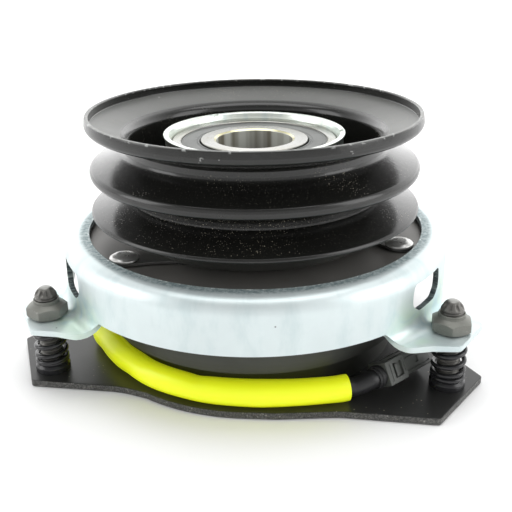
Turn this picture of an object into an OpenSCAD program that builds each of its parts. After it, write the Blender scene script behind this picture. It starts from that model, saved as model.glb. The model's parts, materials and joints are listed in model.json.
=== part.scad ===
// Electromagnetic clutch-brake with a two-groove belt pulley.
// Millimetres. +Z runs up the shaft axis, z = 0 is the underside of the
// mounting plate and the lower end of the shaft bore.

/* [Shaft and bearings] */
// Diameter of the shaft bore
bore_d = 28.58; // [28.55:0.01:28.62]
// Width of the keyway in the rotor hub
key_w = 6.35; // [5:0.05:8]
// Outer diameter of the pulley bearing
pulley_brg_d = 62; // [61:0.5:63]
// Width of the pulley bearing
pulley_brg_w = 16; // [15.6:0.1:16.4]
// Outer diameter of the field bearing
field_brg_d = 68; // [67.6:0.1:68.6]

/* [Pulley] */
// Radius of the pulley rims
rim_r = 61.6; // [60:0.1:62.5]
// Radius of the belt groove bottoms
root_r = 48.2; // [47:0.1:50]
// Height of the top rim above the mounting plate's underside
rim_top = 91; // [90:0.5:92]
// Thickness of the pulley sheet
pulley_t = 1.7; // [1.4:0.1:2]

/* [Brake plate] */
// Outer radius of the brake plate wall
ring_r = 72.8; // [72:0.1:74]
// Radius of the round opening in the brake plate
ring_open_r = 63.4; // [63:0.1:64]
// Thickness of the brake plate sheet
ring_t = 2; // [1.8:0.1:2.2]
// Radius of the circle on which the three studs stand
stud_pcd_r = 82; // [81:0.5:83]

/* [Field] */
// Thickness of the mounting plate
plate_t = 2.5; // [2.2:0.1:2.8]
// Outer radius of the field shell
field_r = 53.8; // [53:0.1:54]
// Travel of the armature from the brake to the rotor
air_gap = 0.45; // [0.3:0.05:0.45]
// Diameter of the yellow sleeve on the lead
sleeve_d = 9; // [7:0.5:9]

/* [Hidden] */
$fn = 96;
e = 0.01;
bore_r = bore_d / 2;
EARS = [90, 210, 330];
RIVETS = [102, 222, 342];
face_z = 38.4;                     // rotor friction face
arm_z0 = face_z + air_gap + 0.05;  // armature underside, de-energised
arm_t = 5;
arm_z1 = arm_z0 + arm_t;
strap_z = arm_z1 + 0.4;              // underside of the leaf springs
dp_z = strap_z + 1;                  // underside of the drive plate's lobes
ring_top = 47;
tab_top = 24;
seat_z = 5.5;                      // top of the spring seat collars
brg_z0 = 63.7;                     // pulley bearing, lower face
brg_z1 = brg_z0 + pulley_brg_w;
fb_z0 = 10;                        // field bearing
fb_z1 = 25;
nut_af = 12.7;
strap_r = 39;                      // pulley-side rivets of the leaf springs
strap_a = 15.5;                    // their lead on the armature's rivets, degrees
pb_r = pulley_brg_d / 2;
fb_r = field_brg_d / 2;
// Route of the lead: out of its strain relief, around the field shell on
// the mounting plate and into the plug. Points chosen by hand.
SLEEVE_R = sleeve_d / 2;
LEAD_Z = plate_t + SLEEVE_R;
SLEEVE_PTS = [[-58.4, -15.7], [-56.6, -22.4], [-52.5, -27.9], [-49, -33.3],
    [-44.4, -38.9], [-39.1, -44.1], [-33.4, -48.9], [-27, -52.9], [-20, -56],
    [-12.5, -58.3], [-4.5, -59.5], [4, -59.8], [12, -59.2], [20, -57.8],
    [28, -56], [33, -54.6], [36.2, -53.5]];
CABLE_PTS = [[36.2, -53.5, LEAD_Z], [38.66, -52.65, LEAD_Z], [41.4, -51.9, LEAD_Z + 0.7], [44.06, -50.76, LEAD_Z + 1.6],
    [44.92, -49.85, LEAD_Z + 1.6]];
// The plug lies rolled over on one edge, latch face outwards.
PLUG_P = [47.2, -47.4, LEAD_Z + 1.6];
PLUG_A = 47;
PLUG_ROLL = 63;

// ---- helpers -------------------------------------------------------------
function unit(v) = v / norm(v);
function left(v) = [-v[1], v[0]];
// Mitred offset of an open polyline, closed into a sheet section.
function off(p, d) = [for (i = [0:len(p) - 1])
    let (a = i == 0 ? unit(p[1] - p[0]) : unit(p[i] - p[i - 1]),
         b = i == len(p) - 1 ? a : unit(p[i + 1] - p[i]),
         n = unit(left(a) + left(b)))
    p[i] + n * d / (n * left(a))];
function rev(v) = [for (i = [len(v) - 1:-1:0]) v[i]];
function sheet(p, t) = concat(off(p, t / 2), rev(off(p, -t / 2)));
// Polyline with its inner corners rounded to radius r in n steps.
function rnd(p, r, n = 4) = [for (i = [0:len(p) - 1])
    each (i == 0 || i == len(p) - 1) ? [p[i]] :
    let (a = unit(p[i - 1] - p[i]), b = unit(p[i + 1] - p[i]),
         half = acos(a * b) / 2, d = r / tan(half),
         c = p[i] + unit(a + b) * r / sin(half),
         s = p[i] + a * d - c, f = p[i] + b * d - c)
    [for (k = [0:n]) c + unit(s * (1 - k / n) + f * k / n) * r]];
module ring(r1, r0, z0, z1) {
    translate([0, 0, z0]) difference() {
        cylinder(r = r1, h = z1 - z0);
        translate([0, 0, -1]) cylinder(r = r0, h = z1 - z0 + 2);
    }
}
module at(a, r, z = 0) { rotate([0, 0, a]) translate([r, 0, z]) children(); }
module arc_slot(r, w, a, h) {
    rotate([0, 0, -a / 2]) rotate_extrude(angle = a) translate([r - w / 2, 0]) square([w, h]);
    for (s = [-1, 1]) rotate([0, 0, s * a / 2]) translate([r, 0, 0]) cylinder(r = w / 2, h = h);
}
// Round tube swept along flat or spatial points.
function dirs(p) = [for (i = [0:len(p) - 1])
    unit(i == 0 ? p[1] - p[0] : i == len(p) - 1 ? p[i] - p[i - 1] : p[i + 1] - p[i - 1])];
module tube(p, r, n = 8) {
    d = dirs(p);
    pts = [for (i = [0:len(p) - 1]) let (u = unit(cross(d[i], [0, 0, 1])), w = cross(u, d[i]))
        for (k = [0:n - 1]) p[i] + u * r * cos(360 * k / n) + w * r * sin(360 * k / n)];
    m = len(p);
    polyhedron(points = pts, faces = concat(
        [[for (k = [0:n - 1]) k]],
        [for (i = [0:m - 2]) for (k = [0:n - 1]) [i * n + k, (i + 1) * n + k, (i + 1) * n + (k + 1) % n, i * n + (k + 1) % n]],
        [[for (k = [n - 1:-1:0]) (m - 1) * n + k]]), convexity = 6);
}
function flat(p, z) = [for (q = p) [q[0], q[1], z]];

// ---- field: the stationary part -------------------------------------------
// One lobe of the plate, its tip leading its stud.
LOBES = [90, 208.3, 332];
function lobe(a) = [for (q = [[64.4, -64], [65.3, -51], [69.9, -33], [91.5, -15.4], [91.2, 5.4], [67.4, 22.3], [64.4, 30.7]])
    [q[0] * cos(a + q[1]), q[0] * sin(a + q[1])]];
module mounting_plate() color([0.10, 0.10, 0.10]) difference() {
    linear_extrude(plate_t) union() {
        circle(r = 64.4);
        for (a = LOBES) polygon(concat(lobe(a), [[0, 0]]));
    }
    translate([0, 0, -1]) cylinder(r = fb_r, h = 5);
    for (a = EARS) at(a, stud_pcd_r, -1) cylinder(r = 4, h = 5);
    // anti-rotation slot in the rear lobe
    rotate([0, 0, 78]) translate([74, 0, -1]) {
        translate([-4, -4.5, 0]) cube([8, 9, 5]);
        for (s = [-4, 4]) translate([s, 0, 0]) cylinder(r = 4.5, h = 5);
    }
}
module field_shell() color([0.13, 0.13, 0.13]) difference() {
    rotate_extrude() polygon([[fb_r, plate_t], [field_r, plate_t], [field_r, 29], [field_r - 3.5, 29],
        [field_r - 3.5, 6.5], [37.5, 6.5], [37.5, 29], [31.5, 29], [31.5, fb_z1], [fb_r, fb_z1],
        [fb_r, 9.8], [35.4, 9.8], [35.4, 8.2], [fb_r, 8.2]]);
    // opening for the coil's lead
    rotate([0, 0, 188]) translate([45, -3.2, 7]) cube([12, 6.4, 5]);
}
module coil_bobbin() color([0.85, 0.82, 0.70])
    rotate_extrude() polygon([[37.7, 6.6], [50.1, 6.6], [50.1, 8.2], [39.3, 8.2], [39.3, 24.4],
        [50.1, 24.4], [50.1, 26], [37.7, 26]]);
module coil_winding() color([0.72, 0.36, 0.16]) ring(49.4, 39.4, 8.3, 24.3);
module potting_ring() color([0.09, 0.09, 0.10]) ring(50.2, 37.6, 26.1, 28.6);
module field_bearing_outer() color([0.78, 0.79, 0.80])
    rotate_extrude() difference() {
        translate([30.6, fb_z0]) square([fb_r - 30.6, fb_z1 - fb_z0]);
        translate([27, (fb_z0 + fb_z1) / 2]) circle(r = 4.6);
    }
module field_bearing_inner() color([0.80, 0.81, 0.82])
    rotate_extrude() difference() {
        translate([20, fb_z0]) square([3.4, fb_z1 - fb_z0]);
        translate([27, (fb_z0 + fb_z1) / 2]) circle(r = 4.6);
    }
module field_bearing_balls() color([0.85, 0.86, 0.87])
    for (i = [0:11]) at(i * 30, 27, (fb_z0 + fb_z1) / 2) sphere(r = 4.25, $fn = 32);
module field_bearing_cage() color([0.70, 0.55, 0.25])
    difference() {
        ring(28.1, 25.9, (fb_z0 + fb_z1) / 2 - 4.8, (fb_z0 + fb_z1) / 2 + 4.8);
        for (i = [0:11]) rotate([0, 0, i * 30]) translate([20, 0, (fb_z0 + fb_z1) / 2]) rotate([0, 90, 0]) cylinder(r = 4.3, h = 12);
    }
module field_bearing_seals() color([0.12, 0.12, 0.12]) {
    ring(30.6, 23.8, fb_z1 - 1.4, fb_z1 - 0.4);
    ring(30.6, 23.8, fb_z0 + 0.4, fb_z0 + 1.4);
}
module field_snap_ring() color([0.30, 0.30, 0.31]) difference() {
    ring(35.3, 31.6, 8.3, 9.7);
    rotate([0, 0, 40]) translate([28, -3, 7]) cube([10, 6, 4]);
}
module gap_studs() color([0.36, 0.34, 0.32]) for (a = EARS) at(a, stud_pcd_r) {
    cylinder(r = 4, h = 32);
    translate([0, 0, 32]) rotate_extrude() polygon([[0, 0], [3.9, 0], [3.6, 0.9], [2.8, 2.0], [1.7, 2.8], [0, 3]]);
}
module spring_seats() color([0.09, 0.09, 0.09]) for (a = EARS) at(a, stud_pcd_r)
    ring(6.2, 4, plate_t, seat_z);
spring_turns = 4.6;
module gap_springs() color([0.07, 0.07, 0.07]) for (a = EARS) at(a, stud_pcd_r) {
    n = 56;
    z0 = seat_z + 0.9;
    z1 = tab_top - ring_t - 0.9;
    tube([for (i = [0:n]) let (q = i / n) [5.25 * cos(360 * spring_turns * q),
        5.25 * sin(360 * spring_turns * q), z0 + (z1 - z0) * q]], 0.85, 6);
}
module gap_nuts() color([0.42, 0.40, 0.38]) for (a = EARS) at(a, stud_pcd_r, tab_top) difference() {
    union() {
        intersection() {
            rotate([0, 0, -4]) cylinder(r = nut_af / 2 / cos(30), h = 5.2, $fn = 6);
            rotate_extrude() polygon([[0, 0], [5.7, 0], [7.35, 0.9], [7.35, 2.7], [4.7, 5.2], [0, 5.2]]);
        }
        translate([0, 0, 5.2 - e]) rotate_extrude() polygon([[0, 0], [4.65, 0], [4.5, 1.4 + e], [0, 1.4 + e]]);
    }
    translate([0, 0, -1]) cylinder(r = 4.05, h = 10);
}

// ---- lead and plug ---------------------------------------------------------
module lead_relief() color([0.08, 0.08, 0.08]) {
    difference() {
        translate([0, 0, plate_t]) rotate([0, 0, 183]) rotate_extrude(angle = 9.3) translate([field_r, 0]) square([11.2, 9.6]);
        translate([-58.4, -15.7, LEAD_Z]) rotate([0, 0, -75]) rotate([0, 90, 0]) translate([0, 0, -7]) cylinder(r = 5.0, h = 20);
    }
    translate([-58.4, -15.7, LEAD_Z]) rotate([0, 0, -75]) rotate([0, 90, 0]) translate([0, 0, -6]) cylinder(r = 4.4, h = 6);
}
module lead_sleeve() color([0.90, 0.93, 0.05]) tube(flat(SLEEVE_PTS, LEAD_Z), SLEEVE_R, 10);
module lead_cable() color([0.07, 0.07, 0.07]) tube(CABLE_PTS, 3.2, 10);
module on_plug() translate(PLUG_P) rotate([0, 0, PLUG_A]) rotate([PLUG_ROLL, 0, 0]) children();
module plug_boot() color([0.08, 0.08, 0.08]) on_plug() translate([-3.3, 0, 0]) rotate([0, 90, 0]) cylinder(r = 4, h = 3.3);
module plug_housing() color([0.17, 0.17, 0.16]) on_plug() difference() {
    union() {
        translate([0, -3.9, -4.1]) cube([23.5, 7.8, 7.4]);
        translate([0, -4.2, -4.2]) cube([2.4, 8.4, 7.5]);
    }
    for (s = [-1, 1]) translate([12, s * 1.9 - 1.3, -1.8]) cube([13, 2.6, 3.6]);
}
module plug_latch() color([0.22, 0.22, 0.20]) on_plug() difference() {
    translate([0, -4.2, 3.3]) cube([9.4, 8.4, 0.9]);
    translate([3.2, -2.6, 3]) cube([4.4, 5.2, 3]);
}
module plug_terminals() color([0.80, 0.70, 0.35]) on_plug()
    for (s = [-1, 1]) translate([12, s * 1.9 - 0.4, -1.2]) cube([10.5, 0.8, 2.4]);

// ---- rotor ------------------------------------------------------------------
module rotor_hub() color([0.35, 0.35, 0.36]) difference() {
    rotate_extrude() polygon([[0, 0], [19.4, 0], [20, 0.6], [20, fb_z1], [24, fb_z1], [24, 34], [26, 34], [26, face_z], [0, face_z]]);
    translate([0, 0, -1]) cylinder(r = bore_r, h = 50);
    translate([0, -key_w / 2, -1]) cube([bore_r + 2.9, key_w, 50]);
}
module rotor_disc() color([0.15, 0.15, 0.15]) difference() {
    rotate_extrude() polygon([[26, 34], [24, 34], [24, 31.4], [54.6, 31.4], [54.6, 13.3], [58.1, 13.3], [58.1, face_z], [26, face_z]]);
    for (a = [0:60:300]) rotate([0, 0, a]) translate([0, 0, 28]) arc_slot(46, 3.4, 40, 12);
}
module spacer_sleeve() color([0.55, 0.56, 0.57]) ring(19.6, bore_r + 0.15, face_z, brg_z0);

// ---- pulley -----------------------------------------------------------------
// A pressed flange: a cone from the drum out to the rim.
module flange_top() color([0.06, 0.06, 0.06]) difference() {
    rotate_extrude() polygon(sheet(rnd([[root_r - 0.6, 82.2], [rim_r, 87.3], [rim_r - 0.6, rim_top]], 1.6, 3), pulley_t));
    translate([0, 0, 70]) cylinder(r = root_r, h = 30);
}
module flange_mid() color([0.06, 0.06, 0.06]) {
    rotate_extrude() polygon([[root_r, 77.2], [rim_r - 0.5, 72.4], [rim_r, 71.9], [rim_r, 69.5], [rim_r - 0.5, 69],
        [root_r, 64.2], [root_r, 66], [rim_r - 3.4, 70.1], [rim_r - 3.4, 71.3], [root_r, 75.4]]);
}
module flange_bottom() color([0.06, 0.06, 0.06]) rotate_extrude()
    polygon([[root_r, 60.9], [rim_r, 56.1], [rim_r + 0.3, 55.6], [rim_r, 54.5], [root_r, 59.2]]);
module pulley_drum() color([0.06, 0.06, 0.06]) ring(root_r, root_r - 2.4, 58.4, 83.2);
module pulley_web() color([0.07, 0.07, 0.07]) rotate_extrude()
    polygon([[pb_r + 2.2, 59], [root_r - 2.4, 59], [root_r - 2.4, 61.6], [36.2, 61.6], [35.6, 62.2], [35.6, 70], [pb_r + 2.2, 70]]);
module bearing_housing() color([0.86, 0.89, 0.88]) rotate_extrude()
    polygon(concat([[25.5, 61.5], [pb_r + 1.4, 61.5], [pb_r + 2.2, 62.3], [pb_r + 2.2, 80.6]],
        [[pb_r + 2.9, 82.0], [pb_r + 2.9, 82.4], [pb_r + 0.9, 82.4], [pb_r + 0.3, 81.0], [pb_r, 80.4], [pb_r, brg_z0], [25.5, brg_z0]]));
module pulley_bearing_outer() color([0.80, 0.82, 0.83]) rotate_extrude() difference() {
    polygon([[27.3, brg_z0], [pb_r - 0.5, brg_z0], [pb_r, brg_z0 + 0.5], [pb_r, brg_z1 - 0.5], [pb_r - 0.5, brg_z1], [27.3, brg_z1]]);
    translate([23.8, (brg_z0 + brg_z1) / 2]) circle(r = 5.2);
}
module pulley_bearing_inner() color([0.86, 0.87, 0.88]) rotate_extrude() difference() {
    polygon([[bore_r, brg_z0 + 0.6], [bore_r + 0.6, brg_z0], [20.15, brg_z0], [20.15, brg_z1], [bore_r + 0.6, brg_z1], [bore_r, brg_z1 - 0.6]]);
    translate([23.8, (brg_z0 + brg_z1) / 2]) circle(r = 5.2);
}
module pulley_bearing_balls() color([0.85, 0.86, 0.87])
    for (i = [0:8]) at(i * 40, 23.8, (brg_z0 + brg_z1) / 2) sphere(r = 4.85, $fn = 32);
module pulley_bearing_cage() color([0.65, 0.66, 0.67]) difference() {
    ring(24.9, 22.7, (brg_z0 + brg_z1) / 2 - 5.3, (brg_z0 + brg_z1) / 2 + 5.3);
    for (i = [0:8]) rotate([0, 0, i * 40]) translate([16, 0, (brg_z0 + brg_z1) / 2]) rotate([0, 90, 0]) cylinder(r = 4.9, h = 14);
}
module pulley_bearing_seals() color([0.38, 0.39, 0.40]) {
    ring(27.3, 20.5, brg_z1 - 1.5, brg_z1 - 0.4);
    ring(27.3, 20.5, brg_z0 + 0.4, brg_z0 + 1.5);
}
module drive_plate() color([0.10, 0.10, 0.10]) difference() {
    rotate_extrude() polygon([[34.4, dp_z], [45.6, dp_z], [45.6, 59], [33.6, 59], [33.6, 56.6],
        [43.4, 56.6], [43.4, dp_z + 2], [34.4, dp_z + 2]]);
    for (a = RIVETS) at(a + strap_a, strap_r, 40) cylinder(r = 2.5, h = 10);
}
module pulley_rivets() color([0.45, 0.44, 0.43]) for (a = RIVETS) at(a + strap_a, strap_r) {
    translate([0, 0, strap_z - 1]) cylinder(r = 2.5, h = 4);
    translate([0, 0, dp_z + 2]) rotate_extrude() polygon([[0, 0], [3.2, 0], [2.9, 0.9], [1.8, 1.5], [0, 1.7]]);
    translate([0, 0, strap_z - 1.9]) cylinder(r = 3.8, h = 1.9);
}
module leaf_springs() color([0.30, 0.29, 0.28]) for (a = RIVETS) {
    p = [57 * cos(a), 57 * sin(a)];
    q = [strap_r * cos(a + strap_a), strap_r * sin(a + strap_a)];
    l = norm(q - p);
    g = atan2(q[1] - p[1], q[0] - p[0]);
    translate([p[0], p[1], strap_z]) rotate([0, 0, g]) difference() {
        union() {
            translate([0, -5, 0]) cube([l, 10, 0.9]);
            for (s = [0, l]) translate([s, 0, 0]) cylinder(r = 5, h = 0.9);
        }
        translate([0, 0, -1]) cylinder(r = 3.35, h = 3);
        translate([l, 0, -1]) cylinder(r = 2.5, h = 3);
    }
}

// ---- armature ---------------------------------------------------------------
module armature_disc() color([0.24, 0.22, 0.20]) difference() {
    ring(69, 40, arm_z0, arm_z1);
    for (a = RIVETS) at(a + strap_a, strap_r, arm_z0 - 1) cylinder(r = 5.5, h = 10);
    for (a = RIVETS) at(a, 57, arm_z0 - 1) cylinder(r = 3, h = 10);
}
module armature_rivets() color([0.80, 0.80, 0.78]) for (a = RIVETS) at(a, 57) {
    translate([0, 0, arm_z0 + 0.3]) cylinder(r = 3, h = strap_z + 0.9 - arm_z0 - 0.3);
    translate([0, 0, strap_z + 0.9]) rotate_extrude() polygon([[0, 0], [5.2, 0], [5.0, 0.6], [4.2, 1.3], [2.6, 1.9], [0, 2.1]]);
}

// ---- brake ------------------------------------------------------------------
module ear(a) rotate([0, 0, a]) {
    // flare out of the wall
    rotate([0, 0, -15.5]) rotate_extrude(angle = 31)
        polygon(sheet(rnd([[ring_r - ring_t / 2, 33], [ring_r - ring_t / 2, tab_top - ring_t / 2], [77.4, tab_top - ring_t / 2]], 5.2, 5), ring_t));
    translate([0, 0, tab_top - ring_t]) linear_extrude(ring_t) difference() {
        polygon([[75.5, -20.4], [77, -19.4], [82, -14.5], [88.3, -10.5], [89.2, -9.8], [89.6, -8.8],
            [89.6, 8.8], [89.2, 9.8], [88.3, 10.5], [82, 14.5], [77, 19.4], [75.5, 20.4]]);
        circle(r = 76.8);
    }
}
module window() translate([60, 0, 0]) rotate([0, 90, 0]) linear_extrude(20)
    polygon([[-41.4, -9.2], [-37.6, -10.2], [-34.6, -10], [-32.2, -8], [-30.9, -4.8],
        [-30.9, 4.8], [-32.2, 8], [-34.6, 10], [-37.6, 10.2], [-41.4, 9.2]]);
module brake_plate() color([0.86, 0.90, 0.89]) difference() {
    union() {
        rotate_extrude() polygon(sheet(rnd([[ring_open_r, ring_top - ring_t / 2], [ring_r - ring_t / 2, ring_top - ring_t / 2],
            [ring_r - ring_t / 2, 28.2]], 5, 6), ring_t));
        for (a = EARS) ear(a);
    }
    for (a = EARS) {
        at(a, stud_pcd_r, 20) cylinder(r = 4.6, h = 6);
        rotate([0, 0, a]) window();
    }
}
module brake_lining() color([0.20, 0.18, 0.15]) ring(66.8, 64, arm_z1 + 0.1, ring_top - ring_t);

mounting_plate();
field_shell();
coil_bobbin();
coil_winding();
potting_ring();
field_bearing_outer();
field_bearing_inner();
field_bearing_balls();
field_bearing_cage();
field_bearing_seals();
field_snap_ring();
gap_studs();
spring_seats();
gap_springs();
gap_nuts();
lead_relief();
lead_sleeve();
lead_cable();
plug_boot();
plug_housing();
plug_latch();
plug_terminals();
rotor_hub();
rotor_disc();
spacer_sleeve();
flange_top();
flange_mid();
flange_bottom();
pulley_drum();
pulley_web();
bearing_housing();
pulley_bearing_outer();
pulley_bearing_inner();
pulley_bearing_balls();
pulley_bearing_cage();
pulley_bearing_seals();
drive_plate();
pulley_rivets();
leaf_springs();
armature_disc();
armature_rivets();
brake_plate();
brake_lining();
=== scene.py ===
import bpy, bmesh, math, random
import numpy as np
from mathutils import Vector, Matrix
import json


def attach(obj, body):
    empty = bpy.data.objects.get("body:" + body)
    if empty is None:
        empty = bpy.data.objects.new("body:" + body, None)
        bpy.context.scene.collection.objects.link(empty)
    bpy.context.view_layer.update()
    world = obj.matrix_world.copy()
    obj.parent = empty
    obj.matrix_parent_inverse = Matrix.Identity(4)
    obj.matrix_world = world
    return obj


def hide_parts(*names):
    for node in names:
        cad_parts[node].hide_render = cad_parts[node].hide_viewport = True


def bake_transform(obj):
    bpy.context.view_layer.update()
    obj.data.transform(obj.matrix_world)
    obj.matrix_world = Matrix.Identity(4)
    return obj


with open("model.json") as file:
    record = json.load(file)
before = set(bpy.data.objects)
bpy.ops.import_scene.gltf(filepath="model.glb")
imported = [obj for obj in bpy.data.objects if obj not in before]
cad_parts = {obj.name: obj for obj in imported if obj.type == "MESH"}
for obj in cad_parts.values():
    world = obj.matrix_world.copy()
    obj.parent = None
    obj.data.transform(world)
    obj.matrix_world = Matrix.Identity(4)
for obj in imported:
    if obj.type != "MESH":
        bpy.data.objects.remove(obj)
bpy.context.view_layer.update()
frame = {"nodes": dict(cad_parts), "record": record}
NODES = frame["nodes"]
SLOT = {s["node"]: s["material_slot"] for s in frame["record"]["subparts"]}
MM = 0.001
EARS = (90, 210, 330)
RIVETS = (102, 222, 342)
STRAP_R, STRAP_A = 39, 15.5
D = math.radians
rng = random.Random(7)


def link(o):
    bpy.context.scene.collection.objects.link(o)
    return o


# ------------------------------------------------------------------ camera
def make_camera():
    e, psi, rho = D(19.917), 0.0009, -0.0121
    fw = Vector((math.sin(psi) * math.cos(e), math.cos(psi) * math.cos(e), -math.sin(e)))
    right = Vector((math.cos(psi), -math.sin(psi), 0))
    up = right.cross(fw)
    r2 = math.cos(rho) * right + math.sin(rho) * up
    u2 = -math.sin(rho) * right + math.cos(rho) * up
    turn = Matrix.Rotation(D(6), 3, "Z")
    m = turn @ Matrix((r2, u2, -fw)).transposed()
    cam = bpy.data.cameras.new("camera")
    o = link(bpy.data.objects.new("camera", cam))
    o.matrix_world = Matrix.Translation(turn @ Vector((0, -0.28824, 0.1525))) @ m.to_4x4()
    cam.sensor_width = 36
    cam.lens = 55.476
    cam.shift_y = -0.0758
    cam.clip_start, cam.clip_end = 0.01, 20
    bpy.context.scene.camera = o


make_camera()


# ------------------------------------------------------------------ materials
class Mat:
    def __init__(self, name, color=None, metallic=0.0, rough=0.5, ior=1.5, **fixed):
        self.m = bpy.data.materials.new(name)
        self.m.use_nodes = True
        self.nt = self.m.node_tree
        self.nt.nodes.clear()
        self.out = self.nt.nodes.new("ShaderNodeOutputMaterial")
        self.b = self.nt.nodes.new("ShaderNodeBsdfPrincipled")
        self.nt.links.new(self.b.outputs[0], self.out.inputs[0])
        tc = self.nt.nodes.new("ShaderNodeTexCoord")
        self.obj, self.nrm = tc.outputs["Object"], tc.outputs["Normal"]
        if color is not None:
            self.b.inputs["Base Color"].default_value = (*color, 1)
        self.b.inputs["Metallic"].default_value = metallic
        self.b.inputs["Roughness"].default_value = rough
        self.b.inputs["IOR"].default_value = ior
        for k, v in fixed.items():
            self.b.inputs[k.replace("_", " ")].default_value = v

    def put(self, sock, v):
        if isinstance(v, bpy.types.NodeSocket):
            self.nt.links.new(v, sock)
        elif isinstance(v, (tuple, list)) and len(v) == 3 and sock.type == "RGBA":
            sock.default_value = (*v, 1)
        else:
            sock.default_value = v

    def node(self, kind, ins=(), out=0, **props):
        n = self.nt.nodes.new("ShaderNode" + kind)
        for k, v in props.items():
            setattr(n, k, v)
        for k, v in dict(ins).items():
            self.put(n.inputs[k], v)
        return n.outputs[out]

    def scaled(self, v, s):
        return self.node("Mapping", {"Vector": v, "Scale": s})

    def noise(self, scale, detail=3, rough=0.55, vec=None, dist=0.0, out=0):
        return self.node("TexNoise", {"Vector": vec or self.obj, "Scale": scale, "Detail": detail,
                                      "Roughness": rough, "Distortion": dist}, out)

    def voro(self, scale, vec=None, out="Distance", feature="F1", rand=1.0):
        n = self.nt.nodes.new("ShaderNodeTexVoronoi")
        n.feature = feature
        self.put(n.inputs["Vector"], vec or self.obj)
        self.put(n.inputs["Scale"], scale)
        n.inputs["Randomness"].default_value = rand
        return n.outputs[out]

    def math(self, op, a, b=None, c=None, clamp=False):
        n = self.nt.nodes.new("ShaderNodeMath")
        n.operation, n.use_clamp = op, clamp
        for i, v in enumerate((a, b, c)):
            if v is not None:
                self.put(n.inputs[i], v)
        return n.outputs[0]

    def xyz(self, v=None):
        n = self.nt.nodes.new("ShaderNodeSeparateXYZ")
        self.put(n.inputs[0], v or self.obj)
        return n.outputs

    def step(self, v, lo, hi, a=0.0, b=1.0):
        return self.node("MapRange", {"Value": v, "From Min": lo, "From Max": hi, "To Min": a, "To Max": b},
                         interpolation_type="SMOOTHSTEP")

    def mix(self, f, a, b):
        n = self.nt.nodes.new("ShaderNodeMix")
        n.data_type = "RGBA"
        self.put(n.inputs[0], f)
        self.put(n.inputs[6], a)
        self.put(n.inputs[7], b)
        return n.outputs[2]

    def lerp(self, f, a, b):
        n = self.nt.nodes.new("ShaderNodeMix")
        self.put(n.inputs[0], f)
        self.put(n.inputs[2], a)
        self.put(n.inputs[3], b)
        return n.outputs[0]

    def radius(self):
        s = self.xyz()
        return self.math("SQRT", self.math("ADD", self.math("MULTIPLY", s[0], s[0]), self.math("MULTIPLY", s[1], s[1])))

    def turned(self):
        """Coordinates that vary with radius and height only, for lathe marks."""
        return self.node("CombineXYZ", {"X": self.radius(), "Y": self.xyz()[2], "Z": 0.0})

    def around(self, k=0.03):
        """Coordinates that vary round the axis and hardly with height, for streaks down a wall."""
        s, r = self.xyz(), self.radius()
        return self.node("CombineXYZ", {"X": self.math("DIVIDE", s[0], r), "Y": self.math("DIVIDE", s[1], r),
                                        "Z": self.math("MULTIPLY", s[2], k * 1000)})

    def bump(self, h, strength, dist=0.0002, normal=None):
        ins = {"Height": h, "Strength": strength, "Distance": dist}
        if normal is not None:
            ins["Normal"] = normal
        return self.node("Bump", ins)

    def set(self, **kw):
        for k, v in kw.items():
            self.put(self.b.inputs[k.replace("_", " ")], v)
        return self


def m_paint():
    m = Mat("gloss_black_paint", rough=0.22, ior=1.52)
    z = m.xyz()[2]
    r = m.radius()
    # dust and swarf specks, thick in the grooves and in patches
    groove = m.step(r, 0.0610, 0.0590)
    patch = m.step(m.noise(30, 3), 0.45, 0.66)
    speck = None
    for size, keep in ((1450, 0.66), (900, 0.84)):
        one = m.math("MULTIPLY", m.step(m.voro(size), 0.20, 0.11), m.math("GREATER_THAN", m.xyz(m.voro(size, out="Color"))[0], keep - 0.2))
        speck = one if speck is None else m.math("MAXIMUM", speck, one)
    speck = m.math("MULTIPLY", speck, m.math("MULTIPLY", groove, m.math("ADD", m.math("MULTIPLY", patch, 0.9), 0.1)))
    fine = m.math("MULTIPLY", m.step(m.noise(2200, 2, 0.6), 0.64, 0.74), m.math("MULTIPLY", patch, groove))
    speck = m.math("MAXIMUM", speck, m.math("MULTIPLY", fine, 0.30))
    # rubbed and chipped lip edge; the inside of the top cone, where it faces up, lightened to satin grey: painted sheen
    # of the overhead light, partly dust
    edge = m.math("MULTIPLY", m.step(z, 0.0902, 0.0909), m.step(m.noise(420, 3), 0.57, 0.66))
    chip = m.math("MULTIPLY", m.step(m.math("ABSOLUTE", m.math("SUBTRACT", z, 0.0878)), 0.0014, 0.0008), m.step(m.noise(300, 4, 0.7), 0.66, 0.72))
    band = m.math("MULTIPLY", m.step(r, 0.0609, 0.0614), m.step(m.noise(160, 4, 0.7), 0.45, 0.75))
    cone = m.math("MULTIPLY", m.step(z, 0.0822, 0.0832), m.math("MULTIPLY", m.step(m.xyz(m.nrm)[2], 0.55, 0.8), m.step(r, 0.0485, 0.0505)))
    film = m.noise(55, 4, 0.6)
    cone_sheen_and_dust = m.noise(24, 5, 0.65)
    base = m.mix(film, (0.0070, 0.0071, 0.0066), (0.0125, 0.0128, 0.0112))
    base = m.mix(m.math("MULTIPLY", band, 0.10), base, (0.04, 0.042, 0.04))
    # painted sheen, with some dust, on the up-facing inside of the top cone
    base = m.mix(cone, base, m.mix(cone_sheen_and_dust, (0.085, 0.087, 0.082), (0.150, 0.153, 0.146)))
    base = m.mix(m.math("MULTIPLY", m.math("MAXIMUM", edge, chip), 0.75), base, (0.40, 0.41, 0.40))
    base = m.mix(speck, base, (0.42, 0.38, 0.29))
    ro = m.math("ADD", m.math("MULTIPLY", m.noise(70, 4), 0.12), 0.13)
    ro = m.math("ADD", ro, m.math("MULTIPLY", speck, 0.4))
    ro = m.math("ADD", ro, m.math("MULTIPLY", band, 0.12))
    ro = m.math("ADD", ro, m.math("MULTIPLY", cone, 0.17))
    n = m.bump(m.noise(330, 2), 0.10, 0.0003)
    n = m.bump(speck, 0.5, 0.0002, n)
    n = m.bump(m.noise(1500, 3, vec=m.turned()), 0.02, 0.0001, n)
    return m.set(Base_Color=base, Roughness=ro, Normal=n).m


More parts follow.
